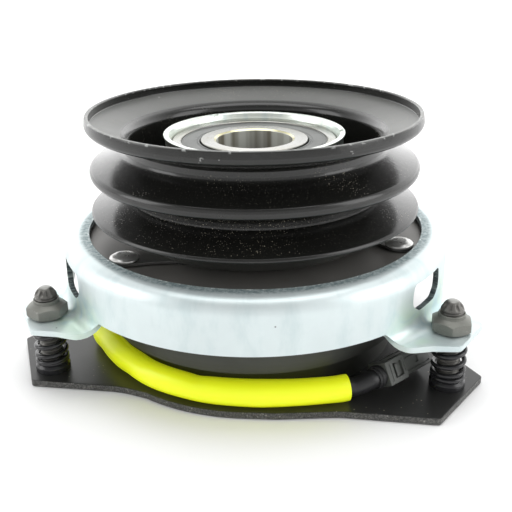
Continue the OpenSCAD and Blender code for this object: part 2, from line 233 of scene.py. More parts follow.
def m_zinc(name="zinc_plating", tint=(0.645, 0.72, 0.725), cut=True, rough=0.36, metallic=0.55):
    m = Mat(name, metallic=metallic, rough=rough)
    s = m.xyz()
    z, r = s[2], m.radius()
    nz = m.xyz(m.nrm)[2]
    cloud = m.noise(40, 5, 0.6)
    streak = m.noise(9, 4, 0.6, vec=m.around(0.006))
    col = m.mix(m.step(cloud, 0.35, 0.7), tint, tuple(min(1, c * 1.07) for c in tint))
    col = m.mix(m.math("MULTIPLY", m.step(streak, 0.46, 0.72), 0.5), col, (0.50, 0.61, 0.62))
    if cut:
        # darker greenish and bluish patches in the bends of the ears: partly passivate colour, partly painted shade and
        # reflection
        a = m.math("ARCTAN2", s[1], s[0])
        ear = m.math("COSINE", m.math("MULTIPLY", m.math("SUBTRACT", a, D(90)), 3.0))
        near = m.math("MULTIPLY", m.step(ear, 0.30, 0.92), m.math("MULTIPLY", m.step(z, 0.042, 0.030), m.step(r, 0.086, 0.077)))
        green = m.math("MULTIPLY", near, m.step(m.noise(60, 3, dist=0.6), 0.38, 0.64))
        blue = m.math("MULTIPLY", near, m.step(m.noise(85, 3, dist=1.0, vec=m.scaled(m.obj, (1.3, 1, 1))), 0.46, 0.68))
        col = m.mix(m.math("MULTIPLY", green, 0.8), col, (0.56, 0.72, 0.59))
        col = m.mix(m.math("MULTIPLY", blue, 0.75), col, (0.44, 0.60, 0.65))
    # pits and scuffs
    pit = m.math("MULTIPLY", m.step(m.voro(140), 0.055, 0.035), m.math("GREATER_THAN", m.xyz(m.voro(140, out="Color"))[1], 0.72))
    scuff = m.step(m.noise(240, 6, 0.75, vec=m.scaled(m.obj, (1, 1, 3))), 0.66, 0.74)
    col = m.mix(m.math("MULTIPLY", pit, 0.75), col, (0.12, 0.13, 0.13))
    col = m.mix(m.math("MULTIPLY", scuff, 0.22), col, (0.50, 0.56, 0.56))
    ro = m.math("ADD", m.math("MULTIPLY", cloud, 0.14), rough - 0.05)
    ro = m.math("ADD", ro, m.math("MULTIPLY", scuff, 0.12))
    bump = m.bump(m.noise(120, 3), 0.10, 0.0004)
    bump = m.bump(m.noise(30, 3, vec=m.around(0.004)), 0.06, 0.0003, bump)
    if cut:
        # the flat round the opening, painted dark mottled blue-grey: a painted reflection of the black pulley above it;
        # bright flecks on its inner edge are painted glints of the burr
        flat = m.math("MULTIPLY", m.step(nz, 0.84, 0.985), m.math("MULTIPLY", m.step(z, 0.0458, 0.0465), m.step(r, 0.0680, 0.0655)))
        mott = m.noise(620, 5, 0.7)
        # painted reflection of the pulley on the flat
        col = m.mix(m.math("MULTIPLY", flat, m.math("ADD", m.math("MULTIPLY", m.step(mott, 0.36, 0.62), 0.45), 0.40)), col, (0.13, 0.19, 0.20))
        # painted glints along the burred inner edge
        painted_burr_glint = m.math("MULTIPLY", m.step(m.noise(700, 3, 0.6), 0.54, 0.64), m.math("MULTIPLY", flat, m.step(r, 0.0643, 0.0638)))
        col = m.mix(painted_burr_glint, col, (0.75, 0.80, 0.78))
        ro = m.math("ADD", ro, m.math("MULTIPLY", flat, 0.15))
        # sheared faces: rough, dark blue-grey with bright tears
        t = m.math("ABSOLUTE", m.math("SUBTRACT", m.math("MULTIPLY", m.xyz(m.nrm)[0], m.math("DIVIDE", s[1], r)),
                                     m.math("MULTIPLY", m.xyz(m.nrm)[1], m.math("DIVIDE", s[0], r))))
        hole = m.math("MULTIPLY", m.math("MAXIMUM", m.step(t, 0.60, 0.85), m.step(m.math("ABSOLUTE", nz), 0.60, 0.85)),
                      m.math("MULTIPLY", m.step(z, 0.0290, 0.0302), m.step(z, 0.0425, 0.0415)))
        bore = m.step(r, 0.06362, 0.06350)
        side = m.math("MAXIMUM", hole, bore)
        tear = m.noise(90, 5, 0.7, vec=m.around(0.02))
        speck = m.noise(900, 3, 0.7)
        rough_col = m.mix(m.step(tear, 0.38, 0.66), (0.055, 0.075, 0.082), (0.26, 0.32, 0.32))
        rough_col = m.mix(m.step(speck, 0.60, 0.72), rough_col, (0.55, 0.61, 0.60))
        col = m.mix(side, col, rough_col)
        ro = m.lerp(side, ro, 0.5)
        bump = m.bump(m.math("MULTIPLY", m.math("ADD", tear, m.math("MULTIPLY", speck, 0.5)), side), 0.7, 0.0003, bump)
        bump = m.bump(m.math("MULTIPLY", mott, flat), 0.4, 0.0003, bump)
    return m.set(Base_Color=col, Roughness=ro, Normal=bump).m


def m_bearing(name="ground_bearing_steel", color=(0.33, 0.33, 0.315), rough=0.20):
    m = Mat(name, metallic=1.0, rough=rough, Anisotropic=0.45)
    rings = m.noise(1400, 4, 0.6, vec=m.turned())
    stain = m.noise(90, 4)
    col = m.mix(m.step(stain, 0.35, 0.75), color, (color[0] * 0.86, color[1] * 0.84, color[2] * 0.76))
    # straw-coloured chamfers at the bore
    r = m.radius()
    warm = m.math("MULTIPLY", m.step(r, 0.0153, 0.0149), m.step(m.math("ABSOLUTE", m.math("SUBTRACT", m.xyz()[2], 0.0717)), 0.0070, 0.0075))
    col = m.mix(m.math("MULTIPLY", warm, 0.7), col, (0.74, 0.70, 0.42))
    # ground bore, more matt than the faces, with light and brownish stripes along its length: painted reflections
    bore = m.step(r, 0.01450, 0.01438)
    bore_reflection_bands = m.step(m.noise(2.6, 2, 0.5, vec=m.around(0.0)), 0.36, 0.64)
    col = m.mix(bore, col, m.mix(bore_reflection_bands, (0.20, 0.185, 0.145), (0.60, 0.61, 0.57)))
    ro = m.math("ADD", m.math("MULTIPLY", rings, 0.16), rough - 0.04)
    ro = m.lerp(bore, ro, 0.38)
    return m.set(Base_Color=col, Roughness=ro, Metallic=m.lerp(bore, 1.0, 0.25), Normal=m.bump(rings, 0.08, 0.0001)).m


def m_seal(name="moulded_seal", color=(0.115, 0.12, 0.114)):
    m = Mat(name, rough=0.42, ior=1.48)
    grain = m.noise(1900, 3)
    wipe = m.noise(65, 4)
    col = m.mix(m.step(wipe, 0.3, 0.75), color, tuple(c * 0.78 for c in color))
    dust = m.step(m.noise(700, 2), 0.66, 0.74)
    col = m.mix(m.math("MULTIPLY", dust, 0.35), col, tuple(min(1, c * 1.7) for c in color))
    return m.set(Base_Color=col, Roughness=m.math("ADD", m.math("MULTIPLY", wipe, 0.25), 0.30),
                 Normal=m.bump(grain, 0.10, 0.0001)).m


def m_phosphate():
    m = Mat("phosphate_coat", metallic=0.55, rough=0.48)
    grain = m.noise(2400, 4, 0.65)
    blotch = m.noise(260, 4)
    col = m.mix(blotch, (0.150, 0.153, 0.136), (0.225, 0.228, 0.206))
    col = m.mix(m.step(grain, 0.58, 0.75), col, (0.33, 0.33, 0.31))
    wear = m.step(m.noise(520, 4), 0.66, 0.76)
    col = m.mix(m.math("MULTIPLY", wear, 0.5), col, (0.45, 0.45, 0.42))
    return m.set(Base_Color=col, Roughness=m.math("ADD", m.math("MULTIPLY", grain, 0.2), 0.36),
                 Normal=m.bump(grain, 0.18, 0.00012)).m


def m_stud():
    m = Mat("dark_stud_steel", metallic=0.6, rough=0.42)
    grain = m.noise(2000, 4, 0.65)
    col = m.mix(m.noise(300, 4), (0.085, 0.082, 0.078), (0.20, 0.195, 0.18))
    z = m.xyz()[2]
    cap = m.step(z, 0.0346, 0.0349)
    col = m.mix(cap, col, (0.30, 0.30, 0.285))
    return m.set(Base_Color=col, Roughness=m.math("ADD", m.math("MULTIPLY", grain, 0.22), 0.30),
                 Normal=m.bump(grain, 0.15, 0.0001)).m


def m_oiled(name="oiled_black_wire", color=(0.010, 0.010, 0.011), rough=0.12):
    m = Mat(name, rough=rough, ior=1.5)
    n = m.noise(700, 4)
    col = m.mix(n, color, tuple(c * 2.6 for c in color))
    return m.set(Base_Color=col, Roughness=m.math("ADD", m.math("MULTIPLY", n, 0.2), rough),
                 Normal=m.bump(m.noise(1200, 3), 0.12, 0.00015)).m


def m_plate():
    m = Mat("semi_gloss_black_plate", rough=0.3, ior=1.48)
    nz = m.math("ABSOLUTE", m.xyz(m.nrm)[2])
    side = m.step(nz, 0.75, 0.45)
    streak = m.noise(170, 5, 0.7, vec=m.around(0.01))
    film = m.noise(34, 5, 0.6)
    top = m.mix(film, (0.012, 0.012, 0.012), (0.030, 0.030, 0.029))
    dust = m.math("MULTIPLY", m.step(m.voro(700), 0.20, 0.13), m.math("GREATER_THAN", m.xyz(m.voro(700, out="Color"))[0], 0.80))
    dust = m.math("MULTIPLY", dust, m.step(m.noise(40, 2), 0.42, 0.6))
    top = m.mix(dust, top, (0.30, 0.27, 0.20))
    shear = m.mix(m.step(streak, 0.40, 0.68), (0.035, 0.035, 0.033), (0.16, 0.158, 0.148))
    shear = m.mix(m.step(m.noise(1100, 3), 0.60, 0.72), shear, (0.30, 0.29, 0.27))
    col = m.mix(side, top, shear)
    ro = m.lerp(side, m.math("ADD", m.math("MULTIPLY", film, 0.22), 0.24), 0.5)
    n = m.bump(m.noise(260, 3), 0.10, 0.0003)
    n = m.bump(m.math("MULTIPLY", m.math("ADD", streak, m.math("MULTIPLY", m.noise(800, 3), 0.4)), side), 0.8, 0.0004, n)
    return m.set(Base_Color=col, Roughness=ro, Normal=n).m


def m_oxide(name="black_oxide_steel", lo=(0.030, 0.031, 0.028), hi=(0.085, 0.088, 0.078), rough=0.38, metallic=0.5):
    m = Mat(name, metallic=metallic, rough=rough)
    rings = m.noise(900, 4, 0.6, vec=m.turned())
    blot = m.noise(45, 5)
    col = m.mix(m.math("ADD", m.math("MULTIPLY", blot, 0.7), m.math("MULTIPLY", rings, 0.3)), lo, hi)
    return m.set(Base_Color=col, Roughness=m.math("ADD", m.math("MULTIPLY", rings, 0.2), rough - 0.06),
                 Normal=m.bump(rings, 0.15, 0.00015)).m


def m_armature():
    m = Mat("armature_iron", metallic=0.25, rough=0.42)
    rings = m.noise(1100, 4, 0.6, vec=m.turned())
    blot = m.noise(55, 5, 0.6)
    col = m.mix(blot, (0.150, 0.146, 0.138), (0.250, 0.240, 0.225))
    rust = m.step(m.noise(130, 5, 0.7), 0.60, 0.76)
    col = m.mix(m.math("MULTIPLY", rust, 0.35), col, (0.16, 0.105, 0.07))
    return m.set(Base_Color=col, Roughness=m.math("ADD", m.math("MULTIPLY", blot, 0.25), 0.30),
                 Normal=m.bump(rings, 0.15, 0.00015)).m


def m_machined(name="machined_steel", color=(0.46, 0.46, 0.45), rough=0.28):
    m = Mat(name, metallic=1.0, rough=rough)
    rings = m.noise(1200, 5, 0.65, vec=m.turned())
    oil = m.noise(60, 4)
    col = m.mix(oil, color, tuple(c * 0.72 for c in color))
    return m.set(Base_Color=col, Roughness=m.math("ADD", m.math("MULTIPLY", rings, 0.22), rough - 0.06),
                 Normal=m.bump(rings, 0.25, 0.00012)).m


def m_rivet():
    m = Mat("rivet_head_steel", metallic=0.75, rough=0.28)
    n = m.noise(420, 4)
    col = m.mix(n, (0.50, 0.50, 0.48), (0.80, 0.80, 0.78))
    return m.set(Base_Color=col, Roughness=m.math("ADD", m.math("MULTIPLY", n, 0.22), 0.19),
                 Normal=m.bump(n, 0.12, 0.0002)).m


def m_spring_steel():
    m = Mat("blued_strap_steel", metallic=0.85, rough=0.32)
    n = m.noise(80, 5)
    grain = m.noise(1500, 3, vec=m.scaled(m.obj, (1, 8, 1)))
    col = m.mix(n, (0.15, 0.155, 0.16), (0.27, 0.265, 0.25))
    return m.set(Base_Color=col, Roughness=m.math("ADD", m.math("MULTIPLY", grain, 0.2), 0.22),
                 Normal=m.bump(grain, 0.1, 0.0001)).m


def m_sleeve():
    # the emission is a painted glow that lifts the sleeve's shaded side; the vinyl is no lamp
    m = Mat("yellow_vinyl_sleeve", rough=0.36, ior=1.46, Subsurface_Weight=0.12, Subsurface_Scale=0.002,
            Emission_Color=(0.80, 0.90, 0.004, 1), Emission_Strength=0.22)
    n = m.noise(45, 4)
    col = m.mix(n, (0.83, 0.92, 0.010), (0.93, 0.99, 0.022))
    dirt = m.math("MULTIPLY", m.step(m.noise(230, 5, 0.7), 0.62, 0.78), 0.30)
    col = m.mix(dirt, col, (0.52, 0.55, 0.02))
    # painted shade: the underside of the sleeve, down where it lies on the plate, darkened
    low = m.step(m.xyz()[2], 0.0048, 0.0030)
    col = m.mix(m.math("MULTIPLY", low, 0.45), col, (0.30, 0.30, 0.015))
    bump = m.bump(m.noise(120, 3), 0.12, 0.0005)
    bump = m.bump(m.noise(1400, 2), 0.05, 0.0001, bump)
    return m.set(Base_Color=col, Roughness=m.math("ADD", m.math("MULTIPLY", n, 0.2), 0.26), Normal=bump).m


def m_plastic(name, color, rough=0.45, grain_scale=1500):
    m = Mat(name, rough=rough, ior=1.49)
    n = m.noise(70, 4)
    g = m.noise(grain_scale, 3)
    col = m.mix(n, color, tuple(c * 1.55 for c in color))
    scuff = m.step(m.noise(420, 5, 0.75), 0.66, 0.76)
    col = m.mix(m.math("MULTIPLY", scuff, 0.3), col, tuple(min(1, c * 3.2) for c in color))
    return m.set(Base_Color=col, Roughness=m.math("ADD", m.math("MULTIPLY", n, 0.22), rough - 0.1),
                 Normal=m.bump(g, 0.12, 0.0001)).m


def m_copper():
    m = Mat("enamelled_copper_wire", metallic=1.0, rough=0.25, Coat_Weight=0.5)
    w = m.node("TexWave", {"Vector": m.turned(), "Scale": 220.0, "Distortion": 0.4}, 1, wave_type="BANDS", bands_direction="DIAGONAL")
    col = m.mix(w, (0.36, 0.12, 0.04), (0.80, 0.36, 0.16))
    return m.set(Base_Color=col, Normal=m.bump(w, 0.6, 0.0003)).m


def m_brass():
    m = Mat("tinned_brass", metallic=1.0, rough=0.25)
    n = m.noise(300, 4)
    return m.set(Base_Color=m.mix(n, (0.72, 0.60, 0.28), (0.83, 0.76, 0.50)),
                 Roughness=m.math("ADD", m.math("MULTIPLY", n, 0.25), 0.15)).m


M = {
    "black_paint": m_paint(),
    "zinc_plate": m_zinc(),
    "bearing_steel": m_bearing(),
    "seal_rubber": m_seal(),
    "phosphate_steel": m_phosphate(),
    "stud": m_stud(),
    "black_steel": m_oiled(),
    "black_plate": m_plate(),
    "field_steel": m_oxide(),
    "armature_iron": m_armature(),
    "machined_steel": m_machined(),
    "rivet_steel": m_rivet(),
    "spring_steel": m_spring_steel(),
    "yellow_sleeve": m_sleeve(),
    "black_cable": m_plastic("heat_shrink", (0.013, 0.013, 0.014), 0.40),
    "black_rubber": m_plastic("moulded_rubber", (0.016, 0.016, 0.017), 0.55),
    "plug_plastic": m_plastic("plug_nylon", (0.062, 0.066, 0.060), 0.42),
    "bobbin_plastic": m_plastic("bobbin_nylon", (0.45, 0.42, 0.30), 0.45),
    "potting": m_plastic("potting_resin", (0.012, 0.012, 0.014), 0.28, 500),
    "friction": m_plastic("friction_lining", (0.060, 0.052, 0.042), 0.8, 900),
    "copper_wire": m_copper(),
    "brass_terminal": m_brass(),
}
M["dark_seal"] = m_seal("black_seal", (0.022, 0.022, 0.022))
M["housing_zinc"] = m_zinc("zinc_housing", (0.72, 0.76, 0.70), cut=False, rough=0.26, metallic=0.9)


# ------------------------------------------------------------------ mesh helpers
def finish_mesh(me, sharp=38):
    bm = bmesh.new()
    bm.from_mesh(me)
    bmesh.ops.remove_doubles(bm, verts=bm.verts, dist=1e-7)
    bmesh.ops.dissolve_degenerate(bm, edges=bm.edges, dist=1e-7)
    bmesh.ops.recalc_face_normals(bm, faces=bm.faces)
    bm.to_mesh(me)
    bm.free()
    me.polygons.foreach_set("use_smooth", [True] * len(me.polygons))
    me.set_sharp_from_angle(angle=D(sharp))
    me.update()


def mesh_obj(name, verts, faces, sharp=38, weighted=True):
    me = bpy.data.meshes.new(name)
    me.from_pydata([(x * MM, y * MM, z * MM) for x, y, z in verts], [], faces)
    finish_mesh(me, sharp)
    o = link(bpy.data.objects.new(name, me))
    if weighted:
        w = o.modifiers.new("flat", "WEIGHTED_NORMAL")
        w.keep_sharp = True
    return o


def fillet(pts, rad=0.3, n=3, closed=True):
    out, m = [], len(pts)
    for i, p in enumerate(pts):
        r = p[2] if len(p) > 2 else rad
        P = Vector(p[:2])
        if r <= 0 or (not closed and i in (0, m - 1)):
            out.append(tuple(P))
            continue
        a, b = Vector(pts[i - 1][:2]) - P, Vector(pts[(i + 1) % m][:2]) - P
        la, lb = a.length, b.length
        a.normalize(), b.normalize()
        half = math.acos(max(-1, min(1, a.dot(b)))) / 2
        if half > math.pi / 2 - 0.03:
            out.append(tuple(P))
            continue
        d = min(r / math.tan(half), la * 0.48, lb * 0.48)
        c = P + (a + b).normalized() * d / math.cos(half)
        s, f = P + a * d - c, P + b * d - c
        ang = math.acos(max(-1, min(1, s.normalized().dot(f.normalized()))))
        sg = 1 if s.x * f.y - s.y * f.x > 0 else -1
        k = max(2, n, int(r * 2.2))
        for t in range(k + 1):
            th = sg * ang * t / k
            out.append((c.x + s.x * math.cos(th) - s.y * math.sin(th), c.y + s.x * math.sin(th) + s.y * math.cos(th)))
    return out


def lathe_data(profile, seg=192, centre=(0, 0), phase=0.0):
    verts, faces, rings = [], [], []
    for r, z in profile:
        if r < 1e-6:
            rings.append([len(verts)])
            verts.append((centre[0], centre[1], z))
        else:
            rings.append(list(range(len(verts), len(verts) + seg)))
            verts += [(centre[0] + r * math.cos(phase + 2 * math.pi * k / seg), centre[1] + r * math.sin(phase + 2 * math.pi * k / seg), z) for k in range(seg)]
    for i in range(len(rings)):
        a, b = rings[i - 1], rings[i]
        if len(a) == 1 and len(b) == 1:
            continue
        for k in range(seg):
            k2 = (k + 1) % seg
            if len(a) == 1:
                faces.append((a[0], b[k2], b[k]))
            elif len(b) == 1:
                faces.append((a[k], a[k2], b[0]))
            else:
                faces.append((a[k], a[k2], b[k2], b[k]))
    return verts, faces


def merge(parts):
    verts, faces = [], []
    for v, f in parts:
        n = len(verts)
        verts += list(v)
        faces += [tuple(i + n for i in q) for q in f]
    return verts, faces


def lathe(name, profile, seg=192, **kw):
    return mesh_obj(name, *lathe_data(profile, seg), **kw)


def plate(name, outer, holes, z0, z1, bev=0.25, sharp=30, res=2):
    """A flat stamped piece with rounded edges from outlines in mm."""
    cu = bpy.data.curves.new(name, "CURVE")
    cu.dimensions, cu.fill_mode = "2D", "BOTH"
    for pts in [outer] + list(holes):
        sp = cu.splines.new("POLY")
        sp.points.add(len(pts) - 1)
        sp.points.foreach_set("co", [c for x, y in pts for c in (x * MM, y * MM, 0, 1)])
        sp.use_cyclic_u = True
    cu.extrude = ((z1 - z0) / 2 - bev) * MM
    cu.bevel_depth, cu.bevel_resolution, cu.offset = bev * MM, res, -bev * MM
    tmp = link(bpy.data.objects.new(name + "_c", cu))
    bpy.context.view_layer.update()
    me = bpy.data.meshes.new_from_object(tmp.evaluated_get(bpy.context.evaluated_depsgraph_get()))
    bpy.data.objects.remove(tmp)
    me.transform(Matrix.Translation((0, 0, (z0 + z1) / 2 * MM)))
    me.name = name
    finish_mesh(me, sharp)
    o = link(bpy.data.objects.new(name, me))
    w = o.modifiers.new("flat", "WEIGHTED_NORMAL")
    w.keep_sharp = True
    return o


def circle(r, n=96, c=(0, 0)):
    return [(c[0] + r * math.cos(2 * math.pi * k / n), c[1] + r * math.sin(2 * math.pi * k / n)) for k in range(n)]


def pol(r, a):
    return (r * math.cos(D(a)), r * math.sin(D(a)))


def rot2(p, a):
    c, s = math.cos(D(a)), math.sin(D(a))
    return (p[0] * c - p[1] * s, p[0] * s + p[1] * c)


def put(o, body, mat, *nodes, mats=None):
    o.data.materials.clear()
    for x in mats or [mat]:
        o.data.materials.append(x)
    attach(o, body)
    if nodes:
        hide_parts(*nodes)
    return o


def join(objs, name):
    """Joins mesh objects made here into one."""
    me = bpy.data.meshes.new(name)
    bm = bmesh.new()
    for o in objs:
        bm.from_mesh(o.data)
    bm.to_mesh(me)
    bm.free()
    for o in objs:
        bpy.data.objects.remove(o)
    me.polygons.foreach_set("use_smooth", [True] * len(me.polygons))
    o = link(bpy.data.objects.new(name, me))
    w = o.modifiers.new("flat", "WEIGHTED_NORMAL")
    w.keep_sharp = True
    return o


def apply_modifiers(o, sharp=38):
    dg = bpy.context.evaluated_depsgraph_get()
    me = bpy.data.meshes.new_from_object(o.evaluated_get(dg))
    o.modifiers.clear()
    o.data = me
    finish_mesh(me, sharp)
    return o


# ------------------------------------------------------------------ lead
SLEEVE_PTS = [(-58.4, -15.7), (-56.6, -22.4), (-52.5, -27.9), (-49, -33.3), (-44.4, -38.9), (-39.1, -44.1),
              (-33.4, -48.9), (-27, -52.9), (-20, -56), (-12.5, -58.3), (-4.5, -59.5), (4, -59.8), (12, -59.2),
              (20, -57.8), (28, -56), (33, -54.6), (36.2, -53.5)]
LEAD_Z = 7.0
CABLE_PTS = [(38.66, -52.65, 7.0), (41.4, -51.9, 7.7), (44.06, -50.76, 8.6), (44.92, -49.85, 8.6)]
PLUG_P, PLUG_A, PLUG_ROLL = (47.2, -47.4, 8.6), 47, 63


def catmull(p, per=6):
    p = [np.array(q, float) for q in p]
    q = [2 * p[0] - p[1]] + p + [2 * p[-1] - p[-2]]
    out = []
    for i in range(1, len(q) - 2):
        for t in range(per):
            t /= per
            out.append(0.5 * (2 * q[i] + (q[i + 1] - q[i - 1]) * t + (2 * q[i - 1] - 5 * q[i] + 4 * q[i + 1] - q[i + 2]) * t ** 2
                              + (3 * q[i] - q[i - 1] - 3 * q[i + 1] + q[i + 2]) * t ** 3))
    out.append(p[-1])
    return out


def cable():
    line = catmull([(x, y, LEAD_Z) for x, y in SLEEVE_PTS] + CABLE_PTS, 5)
    cu = bpy.data.curves.new("lead", "CURVE")
    cu.dimensions = "3D"
    sp = cu.splines.new("POLY")
    sp.points.add(len(line) - 1)
    sp.points.foreach_set("co", [c for p in line for c in (p[0] * MM, p[1] * MM, p[2] * MM, 1)])
    sp.use_smooth = True
    cu.bevel_depth, cu.bevel_resolution, cu.use_fill_caps = 3.2 * MM, 7, True
    o = link(bpy.data.objects.new("lead", cu))
    o.data.materials.append(M["black_cable"])
    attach(o, "field")
    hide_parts("lead_cable")
    return o


def sweep(line, radius, seg=40):
    """Rings round a line: radius(i, t, angle) in mm."""
    line = [np.array(p, float) for p in line]
    rings = []
    for i, p in enumerate(line):
        d = line[min(i + 1, len(line) - 1)] - line[max(i - 1, 0)]
        d /= np.linalg.norm(d)
        u = np.cross(d, (0, 0, 1)); u /= np.linalg.norm(u)
        w = np.cross(u, d)
        rings.append([p + (u * math.cos(a) + w * math.sin(a)) * radius(i, i / (len(line) - 1), a)
                      for a in (2 * math.pi * k / seg for k in range(seg))])
    return rings


def sleeve():
    line = catmull([(x, y, LEAD_Z) for x, y in SLEEVE_PTS], 7)
    n = len(line)
    waves = [(rng.uniform(3, 16), rng.uniform(0, 6.28), rng.uniform(0.02, 0.07)) for _ in range(6)]

    def outer(i, t, a):
        # soft flats where the tube was bent, and one small pinch on its upper side
        v = 4.46
        for f, ph, am in waves:
            v += am * math.sin(f * t * 6.28 + ph + math.cos(a) * 1.3) * 0.45
        v += 0.45 * (math.exp(-((t - 0.70) / 0.10) ** 2) + 0.6 * math.exp(-((t - 0.33) / 0.07) ** 2)) * max(0, math.sin(a))
        v -= 0.42 * math.exp(-((t - 0.545) / 0.022) ** 2) * max(0, math.sin(a)) ** 2
        v -= 0.25 * math.exp(-((t - 0.30) / 0.03) ** 2) * max(0, math.cos(a)) ** 2
        return v

    seg = 48
    ro, ri = sweep(line, outer, seg), sweep(line, lambda i, t, a: outer(i, t, a) - 0.75, seg)
    # cut ends: the outer and inner walls joined across
    rings = ro + ri[::-1]
    verts = [tuple(v) for r in rings for v in r]
    faces = []
    m = len(rings)
    for j in range(m):
        j2 = (j + 1) % m
        for k in range(seg):
            k2 = (k + 1) % seg
            faces.append((j * seg + k, j * seg + k2, j2 * seg + k2, j2 * seg + k))
    o = mesh_obj("sleeve", verts, faces, 50)
    return put(o, "field", M["yellow_sleeve"], "lead_sleeve")


# ------------------------------------------------------------------ plug
def on_plug(p):
    x, y, z = p
    c, s = math.cos(D(PLUG_ROLL)), math.sin(D(PLUG_ROLL))
    u, v = rot2((x, y * c - z * s), PLUG_A)
    return (u + PLUG_P[0], v + PLUG_P[1], y * s + z * c + PLUG_P[2])


def block(name, x0, x1, y0, y1, z0, z1, bev=0.4, seg=3):
    """A bevelled box in the plug's own axes, as a plain object."""
    bm = bmesh.new()
    bmesh.ops.create_cube(bm, size=1)
    for v in bm.verts:
        v.co = ((x0 + x1) / 2 + v.co.x * (x1 - x0), (y0 + y1) / 2 + v.co.y * (y1 - y0), (z0 + z1) / 2 + v.co.z * (z1 - z0))
    bmesh.ops.bevel(bm, geom=list(bm.edges), offset=bev, segments=seg, profile=0.5, affect="EDGES")
    me = bpy.data.meshes.new(name)
    for v in bm.verts:
        v.co = Vector(on_plug(v.co)) * MM
    bm.to_mesh(me)
    bm.free()
    return link(bpy.data.objects.new(name, me))


def cutter(objs, name):
    o = join(objs, name)
    o.modifiers.clear()
    return o


def cut(o, tool, op="DIFFERENCE"):
    b = o.modifiers.new("cut", "BOOLEAN")
    b.operation, b.solver, b.object = op, "EXACT", tool
    b.use_self = False
    bpy.context.view_layer.update()
    apply_modifiers(o, 32)
    bpy.data.objects.remove(tool)
    w = o.modifiers.new("flat", "WEIGHTED_NORMAL")
    w.keep_sharp = True
    return o


def plug():
    body = block("plug_body", 0.3, 23.4, -3.85, 3.85, -4.05, 3.25, 0.6)
    cut(body, cutter([block("c%d" % s, 12, 26, s * 1.9 - 1.3, s * 1.9 + 1.3, -1.8, 1.8, 0.2, 1) for s in (-1, 1)], "c"))
    cut(body, cutter([block("g1", 10.6, 22.4, -2.6, -1.9, 2.9, 4, 0.1, 1), block("g2", 10.6, 22.4, 1.9, 2.6, 2.9, 4, 0.1, 1),
                      block("g3", 4.0, 21.5, 3.5, 4.5, -2.6, -1.8, 0.1, 1), block("g4", 4.0, 21.5, 3.5, 4.5, 1.2, 2.0, 0.1, 1),
                      block("g5", 15.5, 17.2, -1.1, 1.1, 2.8, 4, 0.1, 1)], "c"))
    put(body, "field", M["plug_plastic"], "plug_housing")
    collar = block("plug_collar", 0, 2.3, -4.2, 4.2, -4.2, 3.6, 0.35)
    put(collar, "field", M["plug_plastic"])
    latch = block("plug_latch_frame", 0.05, 9.4, -4.2, 4.2, 3.2, 4.2, 0.28)
    cut(latch, cutter([block("w1", 3.3, 7.7, -2.5, 2.7, 2.5, 6, 0.25, 2), block("w2", 1.0, 2.1, -3.0, 3.0, 3.95, 6, 0.1, 1),
                       block("w3", 7.9, 8.9, -1.6, 3.4, 3.9, 6, 0.1, 1)], "c"))
    latch2 = block("tongue", 4.3, 5.5, -2.3, 2.3, 2.9, 4.15, 0.25)
    put(latch, "field", M["plug_plastic"], "plug_latch")
    put(latch2, "field", M["plug_plastic"])
    # boot with two ribs
    prof = fillet([(3.22, -3.4, 0.2), (3.7, -3.4, 0.4), (3.75, -2.7, 0.2), (3.45, -2.45, 0.15), (3.45, -2.15, 0.15), (3.9, -1.9, 0.2),
                   (3.95, -1.2, 0.2), (3.6, -0.95, 0.15), (3.6, 0.0, 0), (3.22, 0.0, 0)], 0.2, 2)
    v, f = lathe_data(prof, 56)
    v = [on_plug((z, x, y)) for x, y, z in v]
    boot = put(mesh_obj("plug_boot_ribs", v, f), "field", M["black_rubber"], "plug_boot")
    term = join([block("t%d" % s, 12, 22.4, s * 1.9 - 0.4, s * 1.9 + 0.4, -1.2, 1.2, 0.15, 2) for s in (-1, 1)], "terminals")
    put(term, "field", M["brass_terminal"], "plug_terminals")
    return [body, collar, latch, latch2, boot, term]


lead = cable()
tube = sleeve()
on_lead = plug()


# ------------------------------------------------------------------ mounting plate
def lobe_radius():
    """Outline radius of the plate at each azimuth: the disc or a lobe with rounded corners."""
    lobes = []
    for a in (90, 208.3, 332):
        q = [pol(r, a + d) for r, d in ((64.4, -64), (65.3, -51), (69.9, -33), (91.5, -15.4), (91.2, 5.4), (67.4, 22.3), (64.4, 30.7))]
        rad = (0, 30, 30, 1.4, 1.4, 30, 0)
        lobes.append(fillet([(x, y, r) for (x, y), r in zip(q, rad)], 0, 8, closed=False))
    out = []
    n = 1080
    for k in range(n):
        t = 2 * math.pi * k / n
        u = (math.cos(t), math.sin(t))
        best = 64.4
        for lb in lobes:
            for (x0, y0), (x1, y1) in zip(lb, lb[1:]):
                dx, dy = x1 - x0, y1 - y0
                den = u[0] * dy - u[1] * dx
                if abs(den) < 1e-9:
                    continue
                s = (x0 * dy - y0 * dx) / den
                w = (x0 * u[1] - y0 * u[0]) / den
                if s > 0 and -1e-6 <= w <= 1 + 1e-6:
                    best = max(best, s)
        out.append((u[0] * best, u[1] * best))
    return out


slot = []
for k in range(25):
    slot.append(pol(4.5, -90 + k * 7.5)); slot[-1] = (slot[-1][0] + 4, slot[-1][1])
for k in range(25):
    slot.append(pol(4.5, 90 + k * 7.5)); slot[-1] = (slot[-1][0] - 4, slot[-1][1])
slot = [rot2((x + 74, y), 78) for x, y in slot]
put(plate("mount_plate", lobe_radius(), [circle(34.05, 180), slot] + [circle(4.02, 48, pol(82, a)) for a in EARS], 0, 2.5, 0.3),
    "field", M["black_plate"], "mounting_plate")


